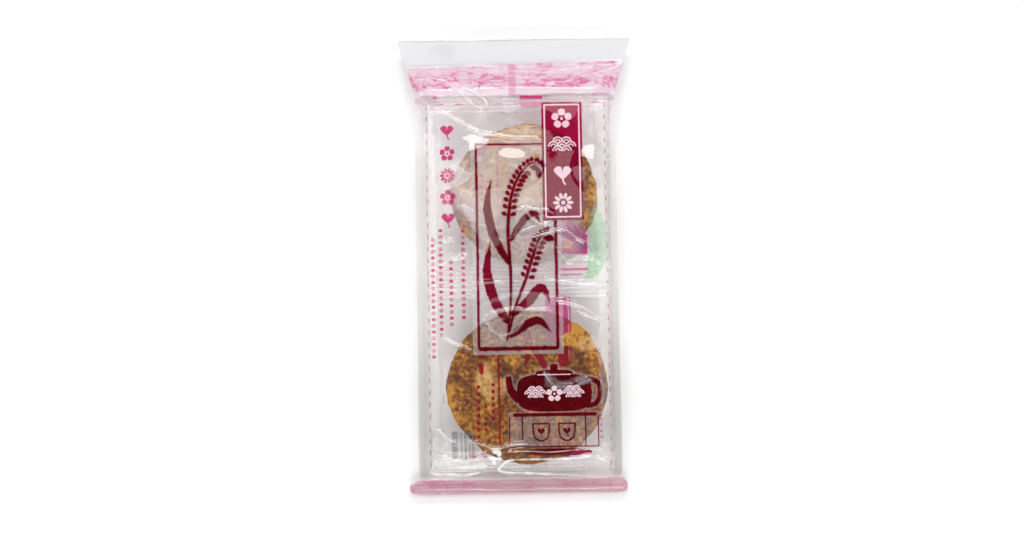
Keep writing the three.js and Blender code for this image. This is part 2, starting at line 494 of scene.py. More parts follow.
def film_surface(material, layers, mirror, roughness, crinkle, shine=1.0):
    """Thin film: clear, then each painted layer by its cover, then a mirror that grows with
    the angle of view. Shine is the share of the mirror that is left."""
    tree = material.node_tree
    place = add_node(tree, "ShaderNodeTexCoord").outputs["Object"]
    crinkles = add_node(tree, "ShaderNodeTexNoise", {
        "Vector": place, "Scale": 1 / CRINKLE_SIZE, "Detail": 2.0, "Roughness": 0.5})
    bump = add_node(tree, "ShaderNodeBump", {
        "Height": crinkles.outputs["Fac"], "Strength": crinkle, "Distance": CRINKLE_DEPTH})
    facing = add_node(tree, "ShaderNodeLayerWeight", {"Blend": 0.5, "Normal": bump.outputs[0]})
    steep = add_node(tree, "ShaderNodeMath", {0: facing.outputs["Facing"], 1: 5.0},
                     operation="POWER")
    mirrored = add_node(tree, "ShaderNodeMath", {
        0: steep.outputs[0], 1: MIRROR_AT_EDGE - mirror, 2: mirror}, operation="MULTIPLY_ADD")
    shown = add_node(tree, "ShaderNodeMath", {0: mirrored.outputs[0], 1: shine},
                     operation="MULTIPLY")
    body = add_node(tree, "ShaderNodeBsdfTransparent", {"Color": linear("#ffffff")})
    for cover, colour in layers:
        paint = add_node(tree, "ShaderNodeBsdfDiffuse", {"Color": colour})
        body = add_node(tree, "ShaderNodeMixShader", {
            0: cover, 1: body.outputs[0], 2: paint.outputs[0]})
    gloss = add_node(tree, "ShaderNodeBsdfGlossy", {
        "Color": linear("#ffffff"), "Roughness": roughness, "Normal": bump.outputs[0]})
    surface = add_node(tree, "ShaderNodeMixShader", {
        0: shown.outputs[0], 1: body.outputs[0], 2: gloss.outputs[0]})
    add_node(tree, "ShaderNodeOutputMaterial", {"Surface": surface.outputs[0]})
    return material


# Clear cast polypropylene that has creased and rubbed: a thin glossy film, milky in angular
# patches with whiter folds between them
MILKY_FILM = "#f0e9eb"
FOLD_PATCH = 13 * MM
FOLD_SWAY = 9 * MM


def sachet_material():
    material = new_material("sachet_polypropylene_film")
    tree = material.node_tree
    place = add_node(tree, "ShaderNodeTexCoord").outputs["Object"]
    sway = add_node(tree, "ShaderNodeTexNoise", {"Vector": place, "Scale": 1 / FOLD_SWAY})
    swayed = add_node(tree, "ShaderNodeVectorMath", {
        0: sway.outputs["Color"], 1: (0.004, 0.004, 0.004), 2: place}, operation="MULTIPLY_ADD")
    patches = add_node(tree, "ShaderNodeTexVoronoi", {
        "Vector": swayed.outputs[0], "Scale": 1 / FOLD_PATCH})
    patchy = add_node(tree, "ShaderNodeMapRange", {
        "Value": patches.outputs["Color"], "From Min": 0.2, "From Max": 0.8,
        "To Min": 0.62, "To Max": 1.3})
    folds = add_node(tree, "ShaderNodeTexVoronoi", {
        "Vector": swayed.outputs[0], "Scale": 1 / FOLD_PATCH}, feature="DISTANCE_TO_EDGE")
    folded = add_node(tree, "ShaderNodeMapRange", {
        "Value": folds.outputs["Distance"], "From Min": 0.0, "From Max": 0.03,
        "To Min": 0.55, "To Max": 0.0})
    rubbed = add_node(tree, "ShaderNodeMath", {0: patchy.outputs[0], 1: folded.outputs[0]},
                      operation="ADD")
    haze = add_node(tree, "ShaderNodeAttribute", attribute_name="haze")
    milky = add_node(tree, "ShaderNodeMath", {
        0: haze.outputs["Fac"], 1: rubbed.outputs[0]}, operation="MULTIPLY")
    return film_surface(material, [(milky.outputs[0], linear(MILKY_FILM))],
                        mirror=0.006, roughness=0.1, crinkle=0.1)


sachet_film = sachet_material()
for level in range(LEVELS):
    upper_surface = sachet(
        f"upper_sachet_{level + 1}", UPPER_STACK, UPPER_SACHET_Y, level, sachet_film)
    lower_surface = sachet(
        f"lower_sachet_{level + 1}", LOWER_STACK, LOWER_SACHET_Y, level, sachet_film)


# ---------------------------------------------------------------------------------------------
# The outer bag itself: its printed film, with the wrinkles that sealing and filling leave in it,
# closed along the back by a flat welded seam. It replaces the plain solid of the pack.

BAG_AROUND, BAG_ALONG = 260, 378  # steps round the film and along it
BACK_SHARE, SIDE_SHARE = 0.2, 0.14  # of the steps round it; the rest cross the front

# Creases in the front, in millimetres: height, reach to the left and right of the way it runs,
# whitening as a share, course. The whitening paints a white line along each crease: partly the
# film's stress-whitening, partly painted highlight.
CREASES = [
    (0.9, 1.6, 1.6, 0.55, [(-50, 95.5), (-43, 96.2), (-36, 94.4), (-27, 87), (-20.5, 80.6),
                           (-14.6, 80), (-16, 84), (-28, 91.6), (-33, 93.4)]),
    (0.7, 1.6, 1.6, 0.5, [(-27, 91.8), (-22.8, 93.8), (-14.5, 93.9), (-3.7, 93.5)]),
    (0.7, 1.6, 1.6, 0.45, [(-11.4, 98.4), (-3.6, 97.7), (6.2, 96), (18.1, 95.8)]),
    (0.9, 1.8, 1.8, 0.55, [(0, 93.4), (18, 92.6), (25.8, 92.5), (31.5, 94.5), (41.4, 98),
                           (51.3, 101.5), (58, 104.6)]),
    (0.7, 1.6, 1.6, 0.4, [(-2, 100.6), (18, 99.4), (30.6, 101.8), (43, 103.6)]),
    (1.1, 2.2, 1.8, 0.6, [(-49.7, 91.2), (-46.4, 83.9), (-43.4, 77.9), (-42.2, 69.6),
                          (-40.5, 61.3)]),
    (0.9, 1.8, 1.8, 0.4, [(43.5, 94), (50, 91.5), (51, 85), (49, 60), (50, 20)]),
    (1.1, 1.7, 2.2, 0.6, [(-42.4, -83), (-38.4, -88.2), (-33.4, -91.3), (-22.4, -92),
                          (-15.8, -94.6), (-11.3, -95.2), (-4.3, -93.3), (3, -92.9)]),
    (0.9, 1.6, 1.6, 0.4, [(-36.9, -91.7), (-44.9, -104.1), (-47, -110)]),
    # These six creases over the bottom slope carry painted highlights: their white lines stand in
    # for glare
    (0.6, 1.8, 1.8, 0.8, [(-40.7, -98.2), (-37.8, -99.4), (-33.6, -100.3), (-28.7, -101),
                          (-22.6, -100.3), (-18, -100.1)]),
    (0.5, 1.4, 1.4, 1.0, [(-42.8, -103), (-38.9, -101)]),
    (0.5, 1.4, 1.4, 1.0, [(-45.4, -107), (-41.3, -105)]),
    (0.8, 2.0, 2.0, 1.7, [(-45.7, -106.6), (-43, -107.5), (-37.5, -107.7), (-32.6, -107.9),
                          (-28.6, -108.3), (-24.5, -107.5), (-18.3, -106.7)]),
    (0.8, 2.0, 2.0, 1.5, [(36.3, -99.3), (30.6, -100.2), (22, -100.8), (12, -100.9),
                          (2, -101), (-6, -101.2), (-9.3, -103.3), (-11.2, -105.3),
                          (-9.4, -106.8), (-2, -107.5), (6, -107.8), (14.8, -108.5),
                          (24, -109), (34, -109.3)]),
    (0.7, 1.6, 1.6, 1.2, [(36.3, -99.5), (40.5, -100.9), (44.1, -102.7)]),
    (1.0, 2.4, 2.0, 0.6, [(18.3, -20.7), (26.9, -22.3), (34.4, -25.3), (42.4, -30.9)]),
    (0.8, 1.8, 1.4, 0.5, [(28.8, -26.2), (36.4, -28.9), (42.9, -31.1)]),
    (0.7, 1.6, 1.6, 0.4, [(-15.3, -27.2), (-6.7, -25.9)]),
    (0.9, 2.0, 1.8, 0.45, [(-41.2, 5.1), (-40.2, 8.9), (-35.6, 11.1), (-31.5, 10)]),
    (0.9, 2.0, 1.8, 0.45, [(-37.8, -2.4), (-34.7, 0.9), (-29.6, 2.3), (-24.5, 3)]),
    (0.9, 2.0, 1.8, 0.5, [(20.8, 5.3), (25.8, -1), (33.5, 0.7), (39.5, 0.1), (41, -3.8)]),
    (0.9, 1.8, 1.8, 0.45, [(4.7, 26.9), (6.4, 23), (10.9, 19.1), (18, 17.9)]),
    (0.8, 1.8, 1.8, 0.5, [(7.7, 11.7), (14.9, 13.5), (24.1, 15.2), (30.1, 11.3), (35.2, 8.9)]),
    (0.5, 2.2, 1.2, 0.45, [(-39.4, 78), (-28.8, 72), (-18.3, 66), (-11.8, 64.7), (-2, 63.1),
                           (6.1, 62.6), (12.7, 62.5)]),
    (0.6, 1.6, 1.6, 0.4, [(0.8, 25.7), (4.4, 27.2), (9.2, 25.6), (15.2, 25.5), (18.8, 23.6)]),
    (0.5, 1.6, 1.6, 0.35, [(1.8, 14.5), (6.6, 15.9), (12.7, 18.2), (18.7, 19.3)]),
    (0.5, 1.6, 1.6, 0.35, [(-23.6, -11.6), (-11.1, -11), (-8, -11.8)]),
    (0.5, 1.6, 1.6, 0.35, [(13.8, -9.9), (23.1, -11.6), (34.7, -13.4), (45.6, -12.8)]),
    (0.6, 1.8, 1.4, 0.5, [(-18.4, -28.8), (-12.9, -27), (-8.2, -25.5), (-2, -25), (4.2, -25.7),
                          (11.2, -25.6), (16.6, -25.4)]),
    (0.6, 1.8, 1.8, 0.4, [(-40.2, -37), (-34.8, -41), (-29.4, -43.4), (-24, -45)]),
    (0.8, 1.8, 1.8, 0.45, [(-50.4, 83.2), (-48.9, 69.9), (-48.2, 56.6)]),
    (0.35, 0.9, 0.9, 0.3, [(-17.9, -28.5), (-13.4, -34.6), (-6.9, -40.8)]),
    (0.35, 0.9, 0.9, 0.3, [(3.4, -29.9), (-1.8, -35.9), (-9.4, -37.8), (-15.4, -34.1)]),
    # Painted reflection: the white of this crease stands in for glare over the kettle
    (0.5, 2.2, 1.6, 0.4, [(12.3, -56.5), (14.6, -61), (18.1, -64), (25.7, -64.8), (31, -63.2),
                          (35.8, -60.8)]),
]
CREASE_STEP = 0.4 * MM
CREASE_TAPER = 3 * MM  # how far from its end a crease reaches its full height
CREASE_LINE = 0.7 * MM  # half the width of its white line
GLINT_LENGTH = 5 * MM  # the white line comes and goes over this length

# Blisters of air under the front, in millimetres: place, reach across and along, height
AIR_BLISTERS = [(-20, 52, 21, 16, 2.4), (0, 48, 14.5, 12.5, 2.15), (39.4, 47, 12, 14.5, 2.1),
                (-12.8, -104.5, 6, 6.5, 3.0)]
# Painted highlights: patches painted white where the film shows glare, over the bottom slope and
# over the kettle: place, reach across and along, whitening as a share
PAINTED_GLARE_PATCHES = [(-12.9, -96.6, 1.6, 1.3, 0.8), (-10.9, -97.8, 1.3, 1.8, 0.8),
            (-14.8, -99.7, 1.9, 1.1, 0.75), (-10.8, -100.3, 1.5, 0.9, 0.75),
            (-13.5, -101.9, 1.2, 1.9, 0.7), (-27, -104.2, 6, 1.3, 0.7),
            (-20.5, -103.6, 4, 1.6, 0.65), (15.5, -61.5, 3.2, 3.6, 0.07),
            (22.5, -63.8, 5.5, 2.2, 0.11), (31.5, -61.2, 4.6, 2.4, 0.13)]
MOST_WHITENING = 0.95


def path_place(places, t):
    """A place and a direction on a smooth curve through the given places."""
    run = clamp(t) * (len(places) - 1)
    i = min(int(run), len(places) - 2)
    f = run - i
    before, a, b, after = (places[clamp(i + k, 0, len(places) - 1)] for k in (-1, 0, 1, 2))
    leave, arrive = (b - before) / 2, (after - a) / 2
    place = (a * (2 * f ** 3 - 3 * f ** 2 + 1) + leave * (f ** 3 - 2 * f ** 2 + f)
             + b * (3 * f ** 2 - 2 * f ** 3) + arrive * (f ** 3 - f ** 2))
    way = (a * (6 * f ** 2 - 6 * f) + leave * (3 * f ** 2 - 4 * f + 1)
           + b * (6 * f - 6 * f ** 2) + arrive * (3 * f ** 2 - 2 * f))
    return place, way.normalized()


def path_length(places):
    return sum((b - a).length for a, b in zip(places, places[1:]))


crease_samples = []
for height, left, right, whitening, course in CREASES:
    places = [Vector(p) * MM for p in course]
    steps = round(path_length(places) / CREASE_STEP)
    for i in range(steps + 1):
        place, way = path_place(places, i / steps)
        taper = clamp(min(i, steps - i) * CREASE_STEP / CREASE_TAPER + 0.1)
        glint = 0.85 + 0.9 * noise.noise(Vector((place.x, place.y, 0)) / GLINT_LENGTH)
        crease_samples.append((place, way, height * taper, left, right, whitening * taper * glint))
crease_tree = kdtree.KDTree(len(crease_samples))
for i, sample in enumerate(crease_samples):
    crease_tree.insert(sample[0].to_3d(), i)
crease_tree.balance()


def crease_at(x, y):
    """The height and the white line, partly painted highlight, that the nearest crease gives a
    place.
    """
    _, i, away = crease_tree.find((x, y, 0))
    place, way, height, left, right, whitening = crease_samples[i]
    reach = left if way.x * (y - place.y) - way.y * (x - place.x) > 0 else right
    near = clamp(1 - away / (reach * MM))
    return height * (near + smooth(near)) / 2 * MM, whitening * clamp(1 - away / CREASE_LINE)


def whitening_and_painted_glare(x, y):
    """How white the front is painted at a place: along its creases, partly stress-whitening and
    partly painted highlight, and on the painted glare patches.
    """
    # The painted glare patches
    glare_white = max(patch[-1] * near_share(x, y, patch) for patch in PAINTED_GLARE_PATCHES)
    return clamp(max(crease_at(x, y)[1], glare_white), 0.0, MOST_WHITENING)


def loose_share(y):
    """Where the front film is free to wrinkle: not in the seals."""
    return smooth((FIN_ROOT + 2 * MM - y) / (5 * MM)) * smooth((y - ROLL_ROOT + 2 * MM) / (4 * MM))


def air_blisters(x, y):
    """The height of the air blisters, and the share of other wrinkles that they leave."""
    rise, left = 0.0, 1.0
    for place_x, place_y, reach_x, reach_y, height in AIR_BLISTERS:
        away = math.hypot((x / MM - place_x) / reach_x, (y / MM - place_y) / reach_y)
        rise += height * MM * clamp(1 - away ** 2) ** 2
        left *= 1 - clamp(1 - away ** 2)
    return rise, left


def bag_wrinkles(x, y):
    """Height of the wrinkles in the front film: long soft waves, short gathers across the pack
    near its seals, blisters and creases."""
    broad = ripple(x, y, 23 * MM, 31 * MM, 3.1) * 0.45 * MM
    fine = ripple(x, y, 7 * MM, 9 * MM, 8.4) * 0.03 * MM
    near_top = smooth((y - SHOULDER + 8 * MM) / (10 * MM))
    gathers = ripple(x, y, 24 * MM, 3.6 * MM, 5.5) * 0.6 * MM * near_top
    near_bottom = smooth((SLOPE + 3 * MM - y) / (6 * MM))
    folds = ripple(x, y, 20 * MM, 4.5 * MM, 1.7) * 0.4 * MM * near_bottom
    blister, left = air_blisters(x, y)
    crease, _ = crease_at(x, y)
    return ((broad + fine + gathers + folds) * left + blister + crease) * loose_share(y)


def seal_wave(x, y):
    """The two seals ripple a little, front and back together, and the roll shows its layers."""
    if y > FIN_ROOT:
        return ripple(x, y, 21 * MM, 13 * MM, 6.6) * 0.5 * MM
    if y < ROLL_ROOT:
        return ripple(x, y, 40 * MM, 1.3 * MM, 9.2) * 0.35 * MM
    return 0.0


def bag_point(turn, y):
    """A point of the film a share of the way round, from the middle of the back."""
    half, low = half_width(y), back_height(y)
    radius = min(SIDE_RADIUS, (front_height(0.0, y) - low) / 2)
    flat = half - radius
    shift = ROLL_SHIFT * roll_spread(y)
    hand = 1 if turn < 0.5 else -1
    share = 2 * min(turn, 1 - turn)
    if share < BACK_SHARE:
        x = hand * flat * share / BACK_SHARE + shift
        return Vector((x, y, low + (seal_wave(x, y) if y > FIN_ROOT else 0)))
    if share < BACK_SHARE + SIDE_SHARE:
        angle = ((share - BACK_SHARE) / SIDE_SHARE - 0.5) * math.pi
        x = hand * (flat + radius * math.cos(angle)) + shift
        up = (math.sin(angle) + 1) / 2
        wave = seal_wave(x, y) * (1 if y > FIN_ROOT else up)
        height = mix(low, front_height(x, y), up)
        return Vector((x, y, height + wave + bag_wrinkles(x, y) * up ** 2))
    x = hand * flat * (1 - share) / (1 - BACK_SHARE - SIDE_SHARE) + shift
    return Vector((x, y, front_height(x, y) + seal_wave(x, y) + bag_wrinkles(x, y)))


# Cast polypropylene printed on its inside: clear and glossy, with a pink of torn and crackled
# paper at both ends, darker in veins and blots, and a matt white under the top seal. Over it lie a
# painted grey shade near the sides, and white lines and patches that are partly painted highlight
BAND_TINT = "#fceef5"
BAND_VEIN = "#d06c9e"
BAND_DOUBLED = "#f3b9d6"
ROLL_TINT = "#efced6"
ROLL_SHADE = "#d3a8b6"
ROLL_VEIN = "#bf8197"
SEAL_WHITE = "#dcdcde"
# White painted along the creases and on glare patches: partly stress-whitening, partly painted
# highlight
CREASE_WHITE_AND_HIGHLIGHT = "#ffffff"
# Painted shade: the dark grey laid over the front near the sides
PAINTED_SHADE_GREY = "#8a8884"

# The top band from its lower edge upwards: where a stretch starts, over what length it comes in,
# how ragged that is, and how strong its veins are
BAND_STRETCHES = [(85 * MM, 1.5 * MM, 1.2 * MM, 0.28),
                  (88.3 * MM, 2.5 * MM, 1.2 * MM, 1.6),
                  (95.2 * MM, 5 * MM, 2.4 * MM, 0.75)]
BACK_BAND_DROP = 5 * MM  # the band starts this much higher on the back
OVERLAP_X = -1.2 * MM  # where the two ends of the band's print overlap
OVERLAP_WIDTH = 3.6 * MM
SEAL_COVER = 0.8
SEAL_SLANT = 0.022  # the white's lower edge rises this much to the right
ROLL_BAND_HEAD = ROLL_ROOT - 0.8 * MM
# Painted shade near the sides: where it starts out from the middle, and how strong it is near the
# top, near the bottom and beside the left side
SHADE_START = 43.5 * MM  # out from the middle, where the film of the sides starts to show
UPPER_SHADE, LOWER_SHADE, LEFT_SHADE = 0.065, 0.25, 0.1

# What makes the paper: veins drawn out across the pack, blots, and the roll's folded layers
VEIN_SIZE = 3.6 * MM
VEIN_STRETCH = 0.55
VEIN_SWAY = 5 * MM
BLOT_SIZE = 7 * MM
LAYER_SIZE = 1.1 * MM
LAYER_STRETCH = 1 / 60


def top_band(x, y):
    """How strong the pink is along the top band."""
    strength = 0.0
    for start, fade, ragged, full in BAND_STRETCHES:
        torn = ripple(x, y, 9 * MM, 9 * MM, 2.0) * ragged
        strength = mix(strength, full, smooth((y - start + torn) / fade))
    return strength


def band_doubled(x):
    return smooth((OVERLAP_WIDTH / 2 - abs(x - OVERLAP_X)) / MM + 0.5)


def torn_edge(x):
    """How far the torn edge of the white and of the roll's pink strays across the pack."""
    return noise.noise(Vector((x / (11 * MM), 2.0, 0))) * 0.7 * MM


def roll_band(x, y):
    return smooth((ROLL_BAND_HEAD + torn_edge(x) - y) / MM)


def cut_edge(x):
    """How far the cut at the top of the pack strays."""
    broad = noise.noise(Vector((x / (16 * MM), 7.0, 0))) * 0.9
    fine = noise.noise(Vector((x / (4 * MM), 3.0, 0))) * 0.5
    return (broad + fine) * MM


def painted_side_shade(x, y):
    """Painted shade: how much dark grey covers the front near its sides, more towards the bottom.
    """
    lower = smooth((10 * MM - y) / (100 * MM))
    shade_near_sides = smooth((abs(x) - SHADE_START) / (6 * MM)) * mix(UPPER_SHADE, LOWER_SHADE, lower)
    beside = smooth((-36 * MM - x) / (8 * MM)) * LEFT_SHADE * lower
    return max(shade_near_sides, beside) * smooth((72 * MM - y) / (22 * MM)) * loose_share(y)


def paper_crackle(tree, place, strength):
    """How dark the paper's veins and blots are."""
    sway = add_node(tree, "ShaderNodeTexNoise", {
        "Vector": place, "Scale": 1 / VEIN_SWAY, "Detail": 3.0})
    swayed = add_node(tree, "ShaderNodeVectorMath", {
        0: sway.outputs["Color"], 1: (0.007, 0.006, 0.006), 2: place}, operation="MULTIPLY_ADD")
    drawn_out = add_node(tree, "ShaderNodeMapping", {
        "Vector": swayed.outputs[0], "Scale": (VEIN_STRETCH, 1.0, 1.0)})
    crackle = add_node(tree, "ShaderNodeTexVoronoi", {
        "Vector": drawn_out.outputs[0], "Scale": 1 / VEIN_SIZE}, feature="DISTANCE_TO_EDGE")
    veins = add_node(tree, "ShaderNodeMapRange", {
        "Value": crackle.outputs["Distance"], "From Min": 0.02, "From Max": 0.12,
        "To Min": 1.0, "To Max": 0.25})
    blots = add_node(tree, "ShaderNodeTexNoise", {
        "Vector": drawn_out.outputs[0], "Scale": 1 / BLOT_SIZE, "Detail": 4.0, "Roughness": 0.65})
    blotted = add_node(tree, "ShaderNodeMapRange", {
        "Value": blots.outputs["Fac"], "From Min": 0.45, "From Max": 0.65})
    vein_share = add_node(tree, "ShaderNodeMath", {
        0: blotted.outputs[0], 1: 0.45, 2: 0.5}, operation="MULTIPLY_ADD")
    veined = add_node(tree, "ShaderNodeMath", {
        0: veins.outputs[0], 1: vein_share.outputs[0]}, operation="MULTIPLY")
    dark = add_node(tree, "ShaderNodeMath", {
        0: blotted.outputs[0], 1: 0.4, 2: veined.outputs[0]}, operation="MULTIPLY_ADD")
    return add_node(tree, "ShaderNodeMath", {0: dark.outputs[0], 1: strength},
                    operation="MULTIPLY", use_clamp=True).outputs[0]


def roll_layers(tree, place):
    """The colour of the roll, streaked along it by the folded layers."""
    along_roll = add_node(tree, "ShaderNodeMapping", {
        "Vector": place, "Scale": (LAYER_STRETCH, 1.0, 1.0)})
    streaks = add_node(tree, "ShaderNodeTexNoise", {
        "Vector": along_roll.outputs[0], "Scale": 1 / LAYER_SIZE, "Detail": 2.0})
    layered = add_node(tree, "ShaderNodeMapRange", {
        "Value": streaks.outputs["Fac"], "From Min": 0.4, "From Max": 0.62})
    return add_node(tree, "ShaderNodeMix", {
        0: layered.outputs[0], 6: linear(ROLL_TINT), 7: linear(ROLL_SHADE)},
        data_type="RGBA").outputs[2]


# What each vertex of the film carries for its material
BAG_LAYERS = ("pink", "doubled", "rolled", "white", "crease", "painted_shade")


def bag_material():
    material = new_material("printed_polypropylene_film")
    tree = material.node_tree
    place = add_node(tree, "ShaderNodeTexCoord").outputs["Object"]
    pink, doubled, rolled, white, crease, painted_shade = (
        add_node(tree, "ShaderNodeAttribute", attribute_name=name).outputs["Fac"]
        for name in BAG_LAYERS)
    shade = paper_crackle(tree, place, pink)
    band_tint = add_node(tree, "ShaderNodeMix", {
        0: doubled, 6: linear(BAND_TINT), 7: linear(BAND_DOUBLED)}, data_type="RGBA")
    tint = add_node(tree, "ShaderNodeMix", {
        0: rolled, 6: band_tint.outputs[2], 7: roll_layers(tree, place)}, data_type="RGBA")
    vein = add_node(tree, "ShaderNodeMix", {
        0: rolled, 6: linear(BAND_VEIN), 7: linear(ROLL_VEIN)}, data_type="RGBA")
    colour = add_node(tree, "ShaderNodeMix", {
        0: shade, 6: tint.outputs[2], 7: vein.outputs[2]}, data_type="RGBA")
    inked = add_node(tree, "ShaderNodeMapRange", {"Value": shade, "To Min": 0.58, "To Max": 0.95})
    spread = add_node(tree, "ShaderNodeMapRange", {"Value": pink, "From Max": 0.25})
    pink_cover = add_node(tree, "ShaderNodeMath", {
        0: spread.outputs[0], 1: inked.outputs[0]}, operation="MULTIPLY")
    # Layers: painted shade near the sides, pink print, the seal's white, and white creases that
    # are partly painted highlight
    layers = [
        (painted_shade, linear(PAINTED_SHADE_GREY)),
        (pink_cover.outputs[0], colour.outputs[2]),
        (white, linear(SEAL_WHITE)),
        (crease, linear(CREASE_WHITE_AND_HIGHLIGHT)),
    ]
    bare = add_node(tree, "ShaderNodeMapRange", {"Value": white, "To Min": 1.0, "To Max": 0.0})
    return film_surface(material, layers, mirror=0.035, roughness=0.05, crinkle=0.01,
                        shine=bare.outputs[0])


bag = bmesh.new()
bmesh.ops.create_grid(bag, x_segments=BAG_AROUND, y_segments=BAG_ALONG, size=0.5)
painted = {name: bag.verts.layers.float.new(name) for name in BAG_LAYERS}
for v in bag.verts:
    turn, y = v.co.x + 0.5, v.co.y * PACK_LENGTH
    front = BACK_SHARE < 2 * min(turn, 1 - turn)
    v.co = bag_point(turn, y)
    x = v.co.x
    v.co.y += cut_edge(x) * smooth((y - TOP_END + 6 * MM) / (6 * MM))
    sealed = clamp((y - FIN_ROOT - torn_edge(x) - SEAL_SLANT * x) / (0.5 * MM))
    rolled = roll_band(x, y)
    band = top_band(x, y if front else y - BACK_BAND_DROP)
    v[painted["pink"]] = band * (1 - sealed) + rolled
    v[painted["doubled"]] = band_doubled(x) if front and y > 0 else 0.0
    v[painted["rolled"]] = rolled
    v[painted["white"]] = SEAL_COVER * sealed
    # The front carries crease whitening that is partly painted highlight, and the painted grey
    # shade near its sides
    v[painted["crease"]] = whitening_and_painted_glare(x, y) * loose_share(y) if front else 0.0
    v[painted["painted_shade"]] = painted_side_shade(x, y) if front else 0.0
bmesh.ops.remove_doubles(bag, verts=bag.verts, dist=0.01 * MM)
bmesh.ops.holes_fill(bag, edges=[e for e in bag.edges if e.is_boundary])
bmesh.ops.recalc_face_normals(bag, faces=bag.faces)
bag_surface = BVHTree.FromBMesh(bag)
outer_film = new_piece("outer_film", bag, [bag_material()])
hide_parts("film_pack")

# The back seam: the two edges of the film welded to each other and laid flat along the back
SEAM_X = -3 * MM
SEAM_WIDTH = 9 * MM
SEAM_LENGTH = PACK_LENGTH - 2 * MM
SEAM_THICKNESS = 0.12 * MM
SEAM_DROP = 0.05 * MM
SEAM_CUTS = 160
seam = bmesh.new()
bmesh.ops.create_cube(seam, size=1.0)
seam_edges = [e for e in seam.edges if abs((e.verts[0].co - e.verts[1].co).y) > 0.5]
bmesh.ops.subdivide_edges(seam, edges=seam_edges, cuts=SEAM_CUTS, use_grid_fill=True)
seam_pink = seam.verts.layers.float.new("pink")
for v in seam.verts:
    x = SEAM_X + v.co.x * SEAM_WIDTH
    y = v.co.y * SEAM_LENGTH
    under = back_height(y) + (seal_wave(x, y) if y > FIN_ROOT else 0)
    v.co = (x, y, under - SEAM_DROP + (v.co.z - 0.5) * SEAM_THICKNESS)
    v[seam_pink] = top_band(x, y - BACK_BAND_DROP) * clamp((FIN_ROOT - y) / MM)
new_piece("back_seam", seam, outer_film.data.materials[:])


# ---------------------------------------------------------------------------------------------
# The print on the bag, in millimetres: flexographic ink on the inside of the film, with a white
# underlay under crimson line work and pink ornaments. Each is a sheet of ink just below the film.

INK_STEP = 1.0 * MM
INK_DEPTH = 0.14 * MM
INK_WELD = 0.001 * MM
BRUSH_GRAIN = 1.6 * MM  # the wavelength of a rough edge
PRINT_SHIFT = Vector((0.0, -1.9))  # the printed panel sits a little below the middle


def flat_ends(t):
    return 1.0


def round_ends(t):
    return arc(2 * t - 1)


def squarish_ends(t):
    return arc(2 * t - 1, 2.8)


def leaf_ends(t):
    return math.sin(math.pi * t) ** 0.8


def brush_ends(t):
    return (0.35 + 0.65 * math.sin(math.pi * min(1, t * 1.15)) ** 0.7) * clamp((1 - t) * 6)


def stroke(bm, places, width, ends=flat_ends, rough=0.0):
    """Lays a band of ink along a smooth curve. Its ends say how its width runs along it."""
    places = [(Vector(p) + PRINT_SHIFT) * MM for p in places]
    fewest = 3 if ends is flat_ends else 8
    steps = max(fewest, round(path_length(places) / INK_STEP))
    rows = max(1, round(width * MM / INK_STEP))
    grid = bmesh.ops.create_grid(bm, x_segments=steps, y_segments=rows, size=0.5)
    for v in grid["verts"]:
        t = v.co.x + 0.5
        centre, way = path_place(places, t)
        out = v.co.y * width * MM * ends(t)
        out *= 1 + rough * noise.noise(Vector((centre.x, centre.y, out * 9)) / BRUSH_GRAIN)
        v.co = (centre.x - way.y * out, centre.y + way.x * out, 0)


def field(bm, left, right, bottom, top):
    """Lays a plain rectangle of ink."""
    middle = (left + right) / 2
    stroke(bm, [(middle, bottom), (middle, top)], right - left)


def ink_piece(name, bm, material, surface, depth):
    """Presses strokes of ink against the underside of a film."""
    bmesh.ops.remove_doubles(bm, verts=bm.verts, dist=INK_WELD)
    bmesh.ops.dissolve_degenerate(bm, edges=bm.edges, dist=INK_WELD)
    for v in bm.verts:
        hit, _, _, _ = surface.ray_cast(Vector((v.co.x, v.co.y, 1)), Vector((0, 0, -1)))
        v.co.z = hit.z - depth
    for face in bm.faces:
        face.normal_update()
        if face.normal.z < 0:
            face.normal_flip()
    new_piece(name, bm, [material])


INK_MOTTLE = 1.6 * MM


def ink_material(name, through, solid, cover, worn):
    """Flexographic ink. Light passes through it and takes its colour, and a share of it is solid
    pigment, which covers unevenly where the plate printed thin."""
    material = new_material(name)
    tree = material.node_tree
    place = add_node(tree, "ShaderNodeTexCoord").outputs["Object"]
    uneven = add_node(tree, "ShaderNodeTexNoise", {
        "Vector": place, "Scale": 1 / INK_MOTTLE, "Detail": 3.0, "Roughness": 0.6})
    covered = add_node(tree, "ShaderNodeMapRange", {
        "Value": uneven.outputs["Fac"], "From Min": 0.35, "From Max": 0.6,
        "To Min": cover - worn, "To Max": cover})
    clear = add_node(tree, "ShaderNodeBsdfTransparent", {"Color": linear(through)})
    ink = add_node(tree, "ShaderNodeBsdfDiffuse", {"Color": linear(solid)})
    surface = add_node(tree, "ShaderNodeMixShader", {
        0: covered.outputs[0], 1: clear.outputs[0], 2: ink.outputs[0]})
    add_node(tree, "ShaderNodeOutputMaterial", {"Surface": surface.outputs[0]})
    return material


